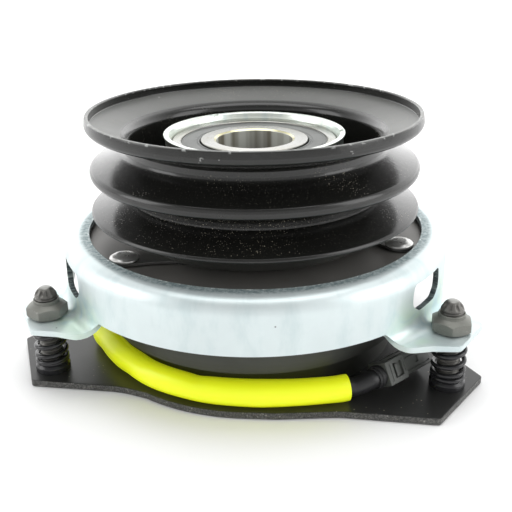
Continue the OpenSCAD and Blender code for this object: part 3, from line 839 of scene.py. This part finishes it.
# ------------------------------------------------------------------ studs, seats, springs, nuts
def stud_data(a):
    c = pol(82, a)
    n, p = 56, 1.25
    verts, rings = [], []
    zs = [0.0, 0.25, 2.4, 2.5] + [2.6 + 29.2 * i / 235 for i in range(236)] + [31.9, 32.0, 32.35, 32.7, 33.0, 33.3, 33.6, 33.9, 34.2, 34.45, 34.6, 34.8, 34.93, 35.0]
    for z in zs:
        row = []
        for k in range(n):
            t = 2 * math.pi * k / n
            r = 3.97
            if z < 0.2:
                r = 3.75
            if 2.6 <= z <= 31.8:
                f = (z / p - k / n) % 1
                tri = min(1, abs(f - 0.5) * 2 * 1.25)
                fade = min(1, (z - 2.6) / 1.2)
                r = 3.97 - 0.58 * (1 - tri) * fade
            elif z >= 31.9:
                r = float(np.interp(z, (31.9, 32.0, 32.9, 34.0, 34.6, 34.8, 34.9, 35.0), (3.95, 3.9, 3.6, 2.8, 2.1, 1.75, 1.55, 1.2)))
                g = min(1.0, max(0.0, math.cos(8 * (t - D(a + 7))) * 1.5 - 0.1))
                m = max(0, 1 - abs((z - 33.3) / 1.05) ** 3)
                r -= 0.75 * g * m
            row.append(len(verts))
            verts.append((c[0] + r * math.cos(t), c[1] + r * math.sin(t), z))
        rings.append(row)
    faces = []
    for A, B in zip(rings, rings[1:]):
        for k in range(n):
            faces.append((A[k], A[(k + 1) % n], B[(k + 1) % n], B[k]))
    verts += [(c[0], c[1], 0.0), (c[0], c[1], 35.0)]
    for k in range(n):
        faces.append((len(verts) - 2, rings[0][(k + 1) % n], rings[0][k]))
        faces.append((len(verts) - 1, rings[-1][k], rings[-1][(k + 1) % n]))
    return verts, faces


put(mesh_obj("threaded_studs", *merge([stud_data(a) for a in EARS]), sharp=45, weighted=False), "field", M["stud"], "gap_studs")
seat = fillet([(4.1, 2.5, 0.1), (6.2, 2.5, 0.1), (6.2, 4.6, 0.3), (5.3, 5.5, 0.3), (4.1, 5.5, 0.2)], 0.2)
put(mesh_obj("spring_cups", *merge([lathe_data(seat, 72, pol(82, a)) for a in EARS])), "field", M["black_steel"], "spring_seats")


def coil_data(a):
    """Closed and ground compression spring."""
    c = pol(82, a)
    wire, R, z0, z1 = 0.84, 5.25, 5.55, 21.95
    turns, dead = 6.4, 0.85
    n = 320
    seg = 14
    h = z1 - z0 - 2 * wire

    def height(t):
        if t < dead:
            return 0.12 * t / dead * wire
        if t > turns - dead:
            return h - 0.12 * (turns - t) / dead * wire
        s = (t - dead) / (turns - 2 * dead)
        s = s + 0.35 * math.sin(2 * math.pi * s) / (2 * math.pi) * -1
        return 0.12 * wire + s * (h - 0.24 * wire)

    line = []
    for i in range(n + 1):
        t = turns * i / n
        ang = 2 * math.pi * t + D(a + 35)
        line.append((c[0] + R * math.cos(ang), c[1] + R * math.sin(ang), z0 + wire + height(t)))
    rings = sweep(line, lambda i, t, q: wire, seg)
    verts = []
    for r in rings:
        for v in r:
            verts.append((v[0], v[1], min(max(v[2], z0), z1)))
    faces = [(j * seg + k, j * seg + (k + 1) % seg, (j + 1) * seg + (k + 1) % seg, (j + 1) * seg + k) for j in range(n) for k in range(seg)]
    faces += [tuple(range(seg)), tuple(n * seg + k for k in reversed(range(seg)))]
    return verts, faces


springs = mesh_obj("coil_springs", *merge([coil_data(a) for a in EARS]), sharp=60, weighted=False)
springs.data.materials.append(M["black_steel"])
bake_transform(springs)
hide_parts("gap_springs")


def nut_data(a):
    c = pol(82, a)
    n = 180
    zs = [0, 0.1, 0.25, 0.4, 0.55, 0.7, 0.9, 1.2, 3.4, 3.6, 3.7, 3.8, 3.9, 4.0, 4.1, 4.2, 4.3, 4.45, 4.6, 4.8, 5.0, 5.2]
    rows = []
    k6 = 90

    def hexr(t):
        s = sum(max(0.0, math.cos(t - D(a - 4 + 30 + 60 * i))) ** k6 for i in range(6))
        return 6.35 / s ** (1 / k6)

    def cone(z):
        if z < 0.9:
            return 5.7 + 1.65 * z / 0.9
        if z < 3.6:
            return 7.36
        return 7.36 - (z - 3.6) * 1.62

    for z in zs:
        rows.append([(min(hexr(t), cone(z)), z) for t in (2 * math.pi * k / n for k in range(n))])
    flat = [(4.66, 5.25), (4.6, 5.32), (4.6, 5.8), (4.46, 5.9), (4.46, 6.0), (4.58, 6.1), (4.58, 6.4), (4.46, 6.56), (4.3, 6.6), (4.12, 6.55), (4.05, 6.4), (4.05, 0.3), (4.4, 0.0)]
    for r, z in flat:
        rows.append([(r, z)] * n)
    verts = [(c[0] + r * math.cos(2 * math.pi * k / n), c[1] + r * math.sin(2 * math.pi * k / n), 24 + z) for row in rows for k, (r, z) in enumerate(row)]
    faces = []
    m = len(rows)
    for j in range(m):
        j2 = (j + 1) % m
        for k in range(n):
            k2 = (k + 1) % n
            faces.append((j * n + k, j * n + k2, j2 * n + k2, j2 * n + k))
    return verts, faces


put(mesh_obj("lock_nuts", *merge([nut_data(a) for a in EARS]), sharp=30), "brake", M["phosphate_steel"], "gap_nuts")


# ------------------------------------------------------------------ brake plate
def brake():
    # mid-surface profile: annulus, shoulder, wall, then the flare and the flat ear
    S1, S2, S3 = 3.4, 3.4 + 5 * math.pi / 2, 3.4 + 5 * math.pi / 2 + 12.8
    S4 = S3 + 5.2 * math.pi / 2

    def prof(s):
        if s <= S1:
            return 63.4 + s, 46.0
        if s <= S2:
            t = (s - S1) / 5
            return 66.8 + 5 * math.sin(t), 41 + 5 * math.cos(t)
        if s <= S3:
            return 71.8, 41 - (s - S2)
        if s <= S4:
            t = (s - S3) / 5.2
            return 77 - 5.2 * math.cos(t), 28.2 - 5.2 * math.sin(t)
        return 77 + (s - S4), 23.0

    def flat_s(x, y):
        return S4 + math.hypot(x, y) - 77

    outline = fillet([(89.6, 0, 0), (89.6, 9.6, 1.6), (88.2, 10.6, 1.4), (82, 14.5, 6), (77.0, 19.3, 3), (75.8, 20.0, 0)], 0, 8, closed=False)
    ang, ss = [], []
    for x, y in outline:
        ang.append(math.degrees(math.atan2(y, x)))
        ss.append(flat_s(x, y))
    ang += [15.6, 16.6, 17.6, 18.5, 19.0]
    ss += [S3 + 6.2, S3 + 3.6, S3 + 1.7, S3 + 0.5, S3]
    order = sorted(zip(ang, ss))
    ang, ss = [a for a, _ in order], [s for _, s in order]

    cols = []
    for a in EARS:
        d = -22.0
        while d < 98:
            cols.append((a + d, min(abs(d), abs(120 - d))))
            near = min(abs(d), abs(120 - d))
            d += 0.5 if near < 21.9 else 1.5
    rows_fixed = [S1 * i / 3 for i in range(3)] + [S1 + (S2 - S1) * i / 12 for i in range(12)] + [S2 + (S3 - S2) * i / 16 for i in range(17)]
    NE = 30
    verts, idx = [], {}

    def vid(p):
        key = tuple(round(c, 5) for c in p)
        if key not in idx:
            idx[key] = len(verts)
            verts.append(p)
        return idx[key]

    grid = []
    for az, near in cols:
        end = float(np.interp(near, ang, ss)) if near < 19.0 else S3
        srow = rows_fixed + [S3 + (end - S3) * (i + 1) / NE for i in range(NE)]
        col = []
        for s in srow:
            r, z = prof(s)
            x, y = pol(r, az)
            col.append(vid((x, y, z)))
        grid.append(col)
    faces = []
    for i in range(len(grid)):
        A, B = grid[i], grid[(i + 1) % len(grid)]
        for j in range(len(A) - 1):
            q = []
            for v in (A[j], A[j + 1], B[j + 1], B[j]):
                if not q or (q[-1] != v and q[0] != v):
                    q.append(v)
            if len(q) >= 3:
                faces.append(tuple(q))
    o = mesh_obj("brake_cup", verts, faces, 40, weighted=False)
    sol = o.modifiers.new("sheet", "SOLIDIFY")
    sol.thickness, sol.offset, sol.use_even_offset = 2 * MM, 0, True
    apply_modifiers(o)
    # windows above the ears and the stud holes
    tools = []
    for a in EARS:
        w = fillet([(41.4, 9.3, 1.6), (37.6, 10.2, 8), (33.6, 9.9, 3.2), (30.9, 6.0, 3.5), (30.9, -6.0, 3.5), (33.6, -9.9, 3.2), (37.6, -10.2, 8), (41.4, -9.3, 1.6)], 1, 8)
        n = len(w)
        vv = [(*rot2((x, y), a), z) for x in (66.0, 76.0) for z, y in w]
        ff = [tuple(range(n)), tuple(range(2 * n - 1, n - 1, -1))] + [(k, n + k, n + (k + 1) % n, (k + 1) % n) for k in range(n)]
        tools.append(mesh_obj("w", vv, ff, 40, weighted=False))
        tools.append(mesh_obj("h", *lathe_data([(4.6, 20), (4.6, 26), (0, 26), (0, 20)], 64, pol(82, a)), weighted=False))
    tool = cutter(tools, "c")
    b = o.modifiers.new("cut", "BOOLEAN")
    b.operation, b.solver, b.object = "DIFFERENCE", "EXACT", tool
    bpy.context.view_layer.update()
    apply_modifiers(o)
    bpy.data.objects.remove(tool)
    bev = o.modifiers.new("edge", "BEVEL")
    bev.width, bev.segments, bev.limit_method, bev.angle_limit = 0.22 * MM, 2, "ANGLE", D(48)
    bev.use_clamp_overlap = True
    apply_modifiers(o, 40)
    w = o.modifiers.new("flat", "WEIGHTED_NORMAL")
    w.keep_sharp = True
    return put(o, "brake", M["zinc_plate"], "brake_plate")


brake()


# ------------------------------------------------------------------ pulley
# drum and upper flange: one pressed shell, its cone rolled over into the drum
put(lathe("pulley_shell", fillet([(61.84, 91.1, 0.6), (62.5, 86.75, 2.4), (48.2, 81.5, 1.6), (48.2, 58.4, 0.6), (45.8, 58.4, 0.6),
                                  (45.8, 82.45, 3.6), (60.64, 87.86, 0.5), (60.25, 91.05, 0.6)], 0.3, 5), 288, sharp=50),
    "pulley", M["black_paint"], "flange_top", "pulley_drum")
put(lathe("middle_rim", fillet([(47.6, 80.6, 0), (48.24, 80.6, 0), (48.5, 77.1, 3.2), (61.05, 72.45, 1.6), (61.6, 70.7, 6), (61.05, 68.95, 1.6), (48.5, 64.3, 2.6), (48.24, 61.6, 0), (47.6, 61.6, 0)], 0.3, 5), 288, sharp=50),
    "pulley", M["black_paint"], "flange_mid")
put(lathe("lower_rim", fillet([(47.6, 61.1, 0), (61.3, 56.2, 0.7), (61.85, 55.5, 0.6), (61.5, 54.5, 0.6), (47.6, 59.5, 0)], 0.3, 4), 288, sharp=50),
    "pulley", M["black_paint"], "flange_bottom")
put(lathe("drum_web", fillet([(33.2, 59, 0.2), (45.9, 59, 0), (45.9, 61.6, 0), (36.6, 61.6, 1.6), (35.6, 63, 1.2), (35.6, 70, 0.6), (33.2, 70, 0.4)], 0.3, 4), 192),
    "pulley", M["black_paint"], "pulley_web")


def housing():
    o = lathe("bearing_cup", fillet([(25.5, 61.5, 0.6), (32.6, 61.5, 1.6), (33.2, 63, 0.6), (33.2, 80.4, 1.2), (33.9, 81.9, 0.5), (33.9, 82.4, 0.35),
                                     (32.0, 82.4, 0.7), (31.25, 80.9, 0.5), (31.0, 80.2, 0.3), (31.0, 63.75, 0.2), (25.5, 63.75, 0.4)], 0.3, 4), 224)
    tools = []
    for a in (125, 245, 5):
        bm = bmesh.new()
        bmesh.ops.create_cube(bm, size=1)
        for v in bm.verts:
            p = rot2((32.55 + v.co.x * 1.5, v.co.y * 2.7), a)
            z = 82.75 + v.co.z * 1.6 - (32.9 - (32.55 + v.co.x * 1.5)) * 0.55
            v.co = Vector((p[0], p[1], z)) * MM
        me = bpy.data.meshes.new("s")
        bm.to_mesh(me)
        bm.free()
        tools.append(link(bpy.data.objects.new("s", me)))
    cut(o, cutter(tools, "c"))
    return put(o, "pulley", M["housing_zinc"], "bearing_housing")


housing()
put(lathe("outer_race", fillet([(27.3, 63.7, 0.25), (31.0, 63.7, 0.6), (31.0, 79.7, 0.7), (27.6, 79.7, 0.3), (27.3, 79.4, 0.15), (27.3, 76, 0.2), (28.4, 74.4, 0.2),
                                 (28.4, 69.0, 0.2), (27.3, 67.4, 0.2)], 0.25, 3), 224),
    "pulley", M["bearing_steel"], "pulley_bearing_outer")
put(lathe("inner_race", fillet([(14.29, 64.3, 0), (14.9, 63.7, 0.2), (20.15, 63.7, 0.3), (20.15, 67.4, 0.2), (19.2, 69.0, 0.2), (19.2, 74.4, 0.2), (20.15, 76, 0.2),
                                 (20.15, 79.7, 0.35), (15.15, 79.7, 0.25), (14.29, 79.0, 0)], 0.25, 3), 224),
    "rotor", M["bearing_steel"], "pulley_bearing_inner")


def seal(z, up):
    s = 1 if up else -1
    q = [(20.5, 0.0, 0.1), (27.3, 0.0, 0.1), (27.3, 1.0, 0.25), (26.75, 1.05, 0.2), (26.5, 0.78, 0.15), (26.1, 0.74, 0.15), (25.9, 0.9, 0.15),
         (22.1, 0.9, 0.2), (21.8, 0.66, 0.15), (21.4, 0.66, 0.15), (21.15, 1.0, 0.2), (20.5, 0.85, 0.2)]
    return lathe_data([(r, z + s * h) for r, h in fillet(q, 0.2, 2)], 192)


put(mesh_obj("moulded_seals", *merge([seal(78.2, True), seal(65.2, False)])), "pulley", M["seal_rubber"], "pulley_bearing_seals")

# ------------------------------------------------------------------ armature
inner = []
for k in range(720):
    t, r = k / 2, 40
    for a in RIVETS:
        d = D(t - a - STRAP_A)
        if math.cos(d) > 0 and abs(STRAP_R * math.sin(d)) < 5.5:
            r = max(r, STRAP_R * math.cos(d) + math.sqrt(5.5 ** 2 - (STRAP_R * math.sin(d)) ** 2))
    inner.append(pol(r, t))
holes = [circle(3.05, 48, pol(57, a)) for a in RIVETS]
put(plate("armature_plate", circle(69, 288), [inner] + holes, 38.9, 43.9, 0.35), "armature", M["armature_iron"], "armature_disc")
dome = fillet([(0, 39.3, 0), (2.95, 39.3, 0.2), (2.95, 45.2, 0), (4.9, 45.2, 0.2), (5.2, 45.45, 0.2), (5.05, 46.1, 0.5), (4.1, 46.75, 1.2), (2.4, 47.2, 1.6), (0, 47.3, 0)], 0.3, 4, closed=False)
put(mesh_obj("domed_rivets", *merge([lathe_data(dome, 72, pol(57, a)) for a in RIVETS]), sharp=50), "armature", M["rivet_steel"], "armature_rivets")
tail = fillet([(0, 42.4, 0), (3.6, 42.4, 0.5), (3.8, 43.0, 0.3), (3.8, 44.3, 0.1), (2.48, 44.3, 0), (2.48, 47.3, 0), (3.2, 47.3, 0.2), (3.0, 48.2, 0.5), (1.8, 48.8, 0.6), (0, 49.0, 0)], 0.2, 3, closed=False)
put(mesh_obj("strap_rivets", *merge([lathe_data(tail, 56, pol(STRAP_R, a + STRAP_A)) for a in RIVETS]), sharp=50), "pulley", M["rivet_steel"], "pulley_rivets")
for i, a in enumerate(RIVETS):
    p, q = pol(57, a), pol(STRAP_R, a + STRAP_A)
    g = math.degrees(math.atan2(q[1] - p[1], q[0] - p[0]))
    L = math.dist(p, q)
    out = [(pol(5, 90 + k * 7.5)[0], pol(5, 90 + k * 7.5)[1]) for k in range(25)]
    out += [(4 + (L - 8) * k / 12, -5 + 0.7 * math.sin(math.pi * k / 12)) for k in range(1, 12)]
    out += [(L + pol(5, -90 + k * 7.5)[0], pol(5, -90 + k * 7.5)[1]) for k in range(25)]
    out += [(L - 4 - (L - 8) * k / 12, 5 - 0.7 * math.sin(math.pi * k / 12)) for k in range(1, 12)]
    tf = lambda w: [(p[0] + rot2(v, g)[0], p[1] + rot2(v, g)[1]) for v in w]
    o = plate("strap_%d" % (i + 1), tf(out), [tf(circle(3.3, 40)), tf(circle(2.55, 36, (L, 0)))], 44.3, 45.2, 0.12, res=1)
    o.data.materials.append(M["spring_steel"])
    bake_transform(o)
    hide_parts("leaf_springs")

# ------------------------------------------------------------------ materials of the carried-over CAD nodes
for name, o in NODES.items():
    if o.hide_render:
        continue
    key = SLOT[name]
    mat = M[key]
    if name == "field_bearing_seals":
        mat = M["dark_seal"]
    if name == "drive_plate":
        mat = M["field_steel"]
    o.data.materials.clear()
    o.data.materials.append(mat)


# ------------------------------------------------------------------ stage
def area(name, loc, size, power, target=(0, 0, 0.04), color=(1, 1, 1)):
    l = bpy.data.lights.new(name, "AREA")
    l.shape, l.size, l.size_y, l.energy, l.color = "RECTANGLE", size[0], size[1], power, color
    o = link(bpy.data.objects.new(name, l))
    o.location = loc
    o.rotation_euler = (Vector(target) - Vector(loc)).to_track_quat("-Z", "Y").to_euler()
    return o


w = bpy.data.worlds.new("studio")
bpy.context.scene.world = w
w.use_nodes = True
nt = w.node_tree
bg = nt.nodes["Background"]
bg.inputs["Color"].default_value = (1.0, 1.0, 1.0, 1)
tc = nt.nodes.new("ShaderNodeTexCoord")
sep = nt.nodes.new("ShaderNodeSeparateXYZ")
nt.links.new(tc.outputs["Generated"], sep.inputs[0])


def fade(sock, lo, hi, a, b):
    n = nt.nodes.new("ShaderNodeMapRange")
    n.interpolation_type = "SMOOTHSTEP"
    nt.links.new(sock, n.inputs[0])
    for i, v in enumerate((lo, hi, a, b)):
        n.inputs[i + 1].default_value = v
    return n.outputs[0]


def times(a, b):
    n = nt.nodes.new("ShaderNodeMath")
    n.operation = "MULTIPLY"
    nt.links.new(a, n.inputs[0])
    nt.links.new(b, n.inputs[1])
    return n.outputs[0]


# white sweep low down and behind, dimmer overhead and on the camera's side
sweep_light = times(fade(sep.outputs["Z"], 0.30, 0.80, 1.12, 0.46), fade(sep.outputs["Y"], -0.85, -0.05, 0.78, 1.0))
nt.links.new(times(sweep_light, fade(sep.outputs["Y"], 0.10, 0.80, 1.0, 2.1)), bg.inputs["Strength"])
area("left_softbox", (-0.80, -0.20, 0.45), (0.45, 0.7), 2.4)
area("right_softbox", (0.80, -0.15, 0.45), (0.5, 0.8), 2.8)
area("top_softbox", (0.0, 0.10, 0.95), (0.9, 0.6), 4.2)

me = bpy.data.meshes.new("floor")
me.from_pydata([(-1.2, -1.2, -0.0002), (1.2, -1.2, -0.0002), (1.2, 1.2, -0.0002), (-1.2, 1.2, -0.0002)], [], [(0, 1, 2, 3)])
floor = link(bpy.data.objects.new("floor", me))
fm = Mat("studio_floor", (0.93, 0.93, 0.93), rough=0.85)
fm.set(Base_Color=fm.mix(fm.noise(3, 2), (0.93, 0.93, 0.93), (0.95, 0.95, 0.95)), Emission_Color=(1, 1, 1),
       Emission_Strength=fm.step(fm.radius(), 0.16, 0.60, 0.0, 0.30))
floor.data.materials.append(fm.m)

scene = bpy.context.scene
scene.view_settings.view_transform = "Standard"
scene.view_settings.look = "None"
scene.view_settings.exposure = 0.0
scene.view_settings.gamma = 1.0

import json
